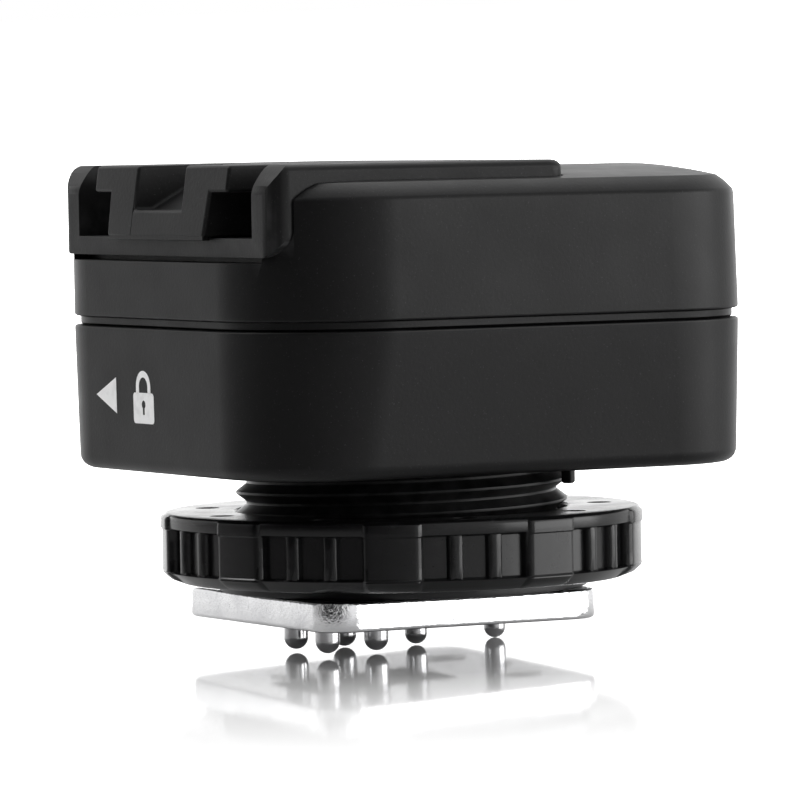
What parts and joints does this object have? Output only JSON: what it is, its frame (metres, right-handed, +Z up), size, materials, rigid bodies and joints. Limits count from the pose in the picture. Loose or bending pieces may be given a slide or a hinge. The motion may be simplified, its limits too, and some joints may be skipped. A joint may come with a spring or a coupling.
{
  "type": "wireless flash trigger",
  "caption": "Compact pass-through wireless flash trigger with a screw-locked shoe foot, sprung contact pins and a rail on top for a second unit.",
  "frame": {"origin": "centre of the foot plate's underside, on the axis of the lock ring and its post", "axes": "+Z up through the body, +Y forward in the direction the foot slides into a camera's shoe, +X to the right seen from behind the camera"},
  "size_m": [0.0321, 0.0325, 0.0279],
  "materials": {
    "chrome_plate": "polished, small edge fillet",
    "steel_pins": "polished tips",
    "steel_screws": "blackened",
    "bright_screws": "zinc plated",
    "spring_wire": "gold plated wire",
    "black_block": "fine matte",
    "black_post": "satin",
    "ring_gloss": "gloss",
    "plate_black": "satin",
    "case_black": "satin, finely speckled",
    "insert_black": "satin, finely speckled",
    "rail_black": "satin, rough ramp",
    "board_green": "solder mask",
    "flex_amber": "polyimide film",
    "connector_ivory": "moulded",
    "shield_tin": "tinned",
    "chip_black": "moulded",
    "crystal_can": "bright can",
    "cap_sleeve": "printed sleeve, plain",
    "contact_gold": "gold plated",
    "lamp_clear": "clear, polished",
    "led_body": "moulded",
    "switch_metal": "bright frame",
    "knob_black": "satin",
    "button_red": "satin",
    "cell_steel": "bright"
  },
  "bodies": {
    "body": {"foot_plate": "chrome_plate", "plate_screws": "bright_screws", "contact_block": "black_block", "sync_spring": "spring_wire", "data_spring_a": "spring_wire", "data_spring_b": "spring_wire", "data_spring_c": "spring_wire", "data_spring_d": "spring_wire", "foot_board": "board_green", "foot_board_screws": "bright_screws", "foot_flex": "flex_amber", "threaded_post": "black_post", "post_screws": "steel_screws", "lower_case": "case_black", "upper_case": "case_black", "case_screws": "steel_screws", "shoe_insert": "insert_black", "insert_screws": "steel_screws", "shoe_rail": "rail_black", "rail_screws": "steel_screws", "shoe_contacts": "contact_gold", "main_board": "board_green", "board_screws": "bright_screws", "flex_connector": "connector_ivory", "radio_module": "shield_tin", "microcontroller": "chip_black", "crystal": "crystal_can", "capacitors": "cap_sleeve", "antenna": "spring_wire", "status_led": "led_body", "light_pipe": "lamp_clear", "power_switch": "switch_metal", "test_switch": "chip_black", "cell_top_contact": "contact_gold", "cell_side_contact": "contact_gold"},
    "clamp": {"pressure_plate": "plate_black", "lock_pin": "steel_pins"},
    "ring": {"lock_ring": "ring_gloss"},
    "sync_pin": {"sync_contact": "steel_pins"},
    "data_pin_a": {"data_contact_a": "steel_pins"},
    "data_pin_b": {"data_contact_b": "steel_pins"},
    "data_pin_c": {"data_contact_c": "steel_pins"},
    "data_pin_d": {"data_contact_d": "steel_pins"},
    "knob": {"switch_knob": "knob_black"},
    "button": {"test_button": "button_red"},
    "drawer": {"battery_drawer": "case_black", "coin_cell": "cell_steel"}
  },
  "joints": [
    {"name": "clamp_slide", "type": "slide", "parent": "body", "child": "clamp", "axis": [0, 0, 1], "range_m": [0, 0.0014]},
    {"name": "ring_turn", "type": "hinge", "parent": "clamp", "child": "ring", "pos_m": [0, 0, 0.0042], "axis": [0, 0, 1], "range_deg": [0, 420]},
    {"name": "sync_press", "type": "slide", "parent": "body", "child": "sync_pin", "axis": [0, 0, 1], "range_m": [0, 0.0012], "stiffness_N_per_m": 500, "springref_m": -0.0006, "deforming": ["sync_spring"]},
    {"name": "data_press_a", "type": "slide", "parent": "body", "child": "data_pin_a", "axis": [0, 0, 1], "range_m": [0, 0.0012], "stiffness_N_per_m": 500, "springref_m": -0.0006, "deforming": ["data_spring_a"]},
    {"name": "data_press_b", "type": "slide", "parent": "body", "child": "data_pin_b", "axis": [0, 0, 1], "range_m": [0, 0.0012], "stiffness_N_per_m": 500, "springref_m": -0.0006, "deforming": ["data_spring_b"]},
    {"name": "data_press_c", "type": "slide", "parent": "body", "child": "data_pin_c", "axis": [0, 0, 1], "range_m": [0, 0.0012], "stiffness_N_per_m": 500, "springref_m": -0.0006, "deforming": ["data_spring_c"]},
    {"name": "data_press_d", "type": "slide", "parent": "body", "child": "data_pin_d", "axis": [0, 0, 1], "range_m": [0, 0.0012], "stiffness_N_per_m": 500, "springref_m": -0.0006, "deforming": ["data_spring_d"]},
    {"name": "switch_slide", "type": "slide", "parent": "body", "child": "knob", "axis": [0, 1, 0], "range_m": [0, 0.002]},
    {"name": "test_press", "type": "slide", "parent": "body", "child": "button", "axis": [1, 0, 0], "range_m": [0, 0.0005], "stiffness_N_per_m": 800, "springref_m": -0.0005},
    {"name": "drawer_slide", "type": "slide", "parent": "body", "child": "drawer", "axis": [0, 1, 0], "range_m": [0, 0.021]}
  ],
  "couplings": [
    {"joint": "clamp_slide", "follows": "ring_turn", "m_per_rad": 0.00019099}
  ]
}
